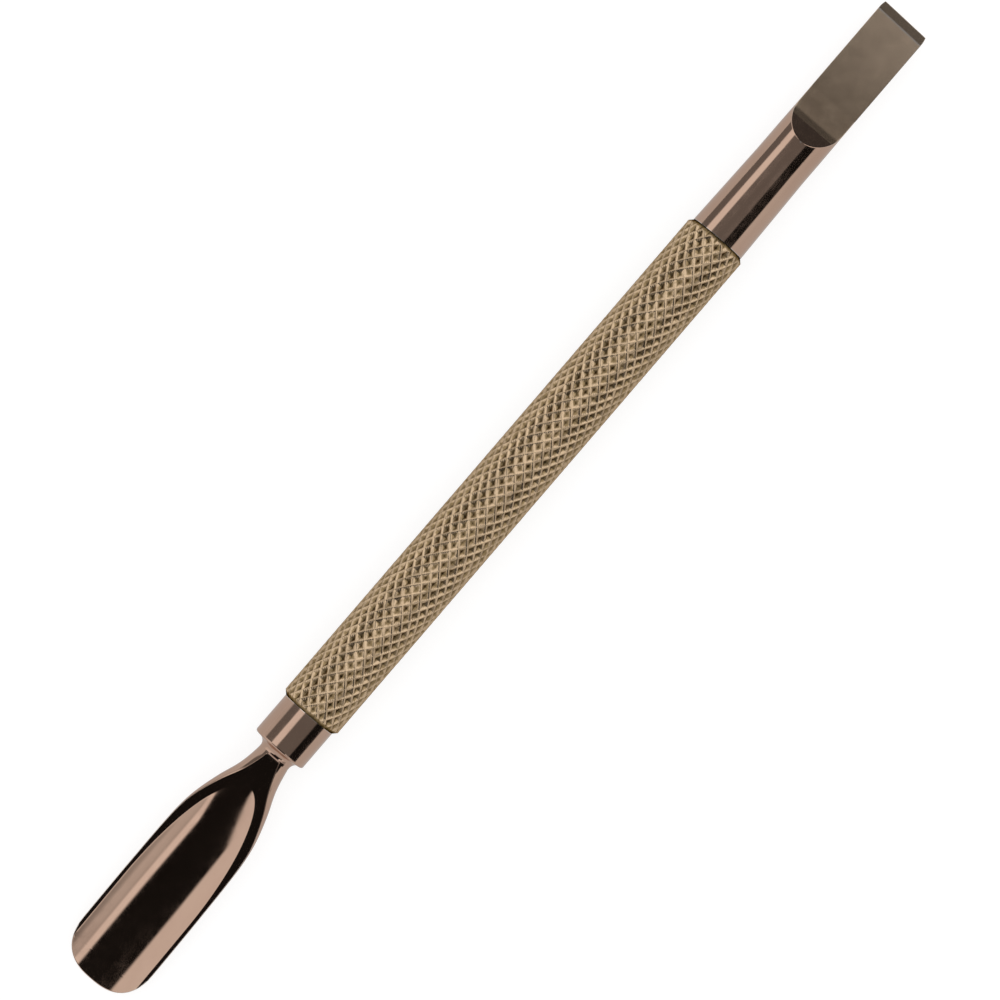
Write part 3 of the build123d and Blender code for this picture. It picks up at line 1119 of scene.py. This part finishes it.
def studio_panels(nodes):
    """Brightness by direction: the panels round the tool, chosen by how far a direction leans along it."""
    x, y, z = nodes.axes("Generated")
    around = nodes.math("DEGREES", nodes.math("ARCTAN2", y, z))
    along = nodes.math("DEGREES", nodes.math("ARCSINE", x))
    shank_slant = nodes.span(along, *SHANK_SLANT_SPAN, SHANK_SLANT, 0.0)
    over_shank = panel_ramp(nodes, nodes.math("ADD", around, shank_slant), SHANK_PANELS)
    spoon_slant = nodes.span(along, *SPOON_SLANT_SPAN, 0.0, SPOON_SLANT)
    over_spoon = panel_ramp(nodes, nodes.math("ADD", around, spoon_slant), SPOON_PANELS)
    over_knurl = panel_ramp(nodes, around, KNURL_PANELS)
    toward_spoon = nodes.span(along, *SPOON_SPAN, 0.0, 1.0)
    toward_knurl = nodes.span(along, *KNURL_SPAN, 0.0, 1.0)
    toward_ramp = nodes.span(along, *RAMP_SPAN, 0.0, 1.0)
    toward_neck = nodes.span(along, *NECK_SPAN, 0.0, 1.0)
    panels = nodes.mix(toward_spoon, over_shank, over_spoon)
    panels = nodes.mix(toward_knurl, panels, over_knurl)
    panels = nodes.mix(toward_ramp, panels, grey(RAMP_PANEL))
    return nodes.mix(toward_neck, panels, grey(NECK_PANEL))


def make_world():
    """The studio: light and dark panels that only the metal mirrors, and an even light for the rest."""
    world = bpy.data.worlds.new("studio")
    bpy.context.scene.world = world
    world.use_nodes = True
    world.cycles.sampling_method = "NONE"
    nodes = Nodes(world.node_tree)
    output = nodes.add("ShaderNodeOutputWorld")
    background = nodes.add("ShaderNodeBackground")
    nodes.join(background.outputs["Background"], output.inputs["Surface"])
    path = nodes.add("ShaderNodeLightPath")
    even = nodes.math("MAXIMUM", path.outputs["Is Camera Ray"], path.outputs["Is Diffuse Ray"])
    nodes.join(nodes.mix(even, studio_panels(nodes), grey(1.0)), background.inputs["Color"])


make_camera()
make_floor()
make_world()

polished = polished_coating()

spoon = make_spoon()
spoon.data.materials.append(polished)

scraper = make_scraper()
dress_scraper(scraper, [
    polished,
    ground_coating("ground_coating", GROUND_PAINTED_REFLECTION_DARK, GROUND_PAINTED_REFLECTION_LIGHT),
    ground_coating("ground_bevel_painted_shade", BEVEL_PAINTED_SHADE_DEEP, BEVEL_PAINTED_SHADE_MILD),
])

handle = make_handle()
handle.data.materials.append(knurled_coating())

filler = braze_filler()
for node in ("spoon_braze_sleeve", "scraper_braze_sleeve"):
    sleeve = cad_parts[node]
    sleeve.data.materials.clear()
    sleeve.data.materials.append(filler)

bpy.context.scene.view_settings.view_transform = "Standard"
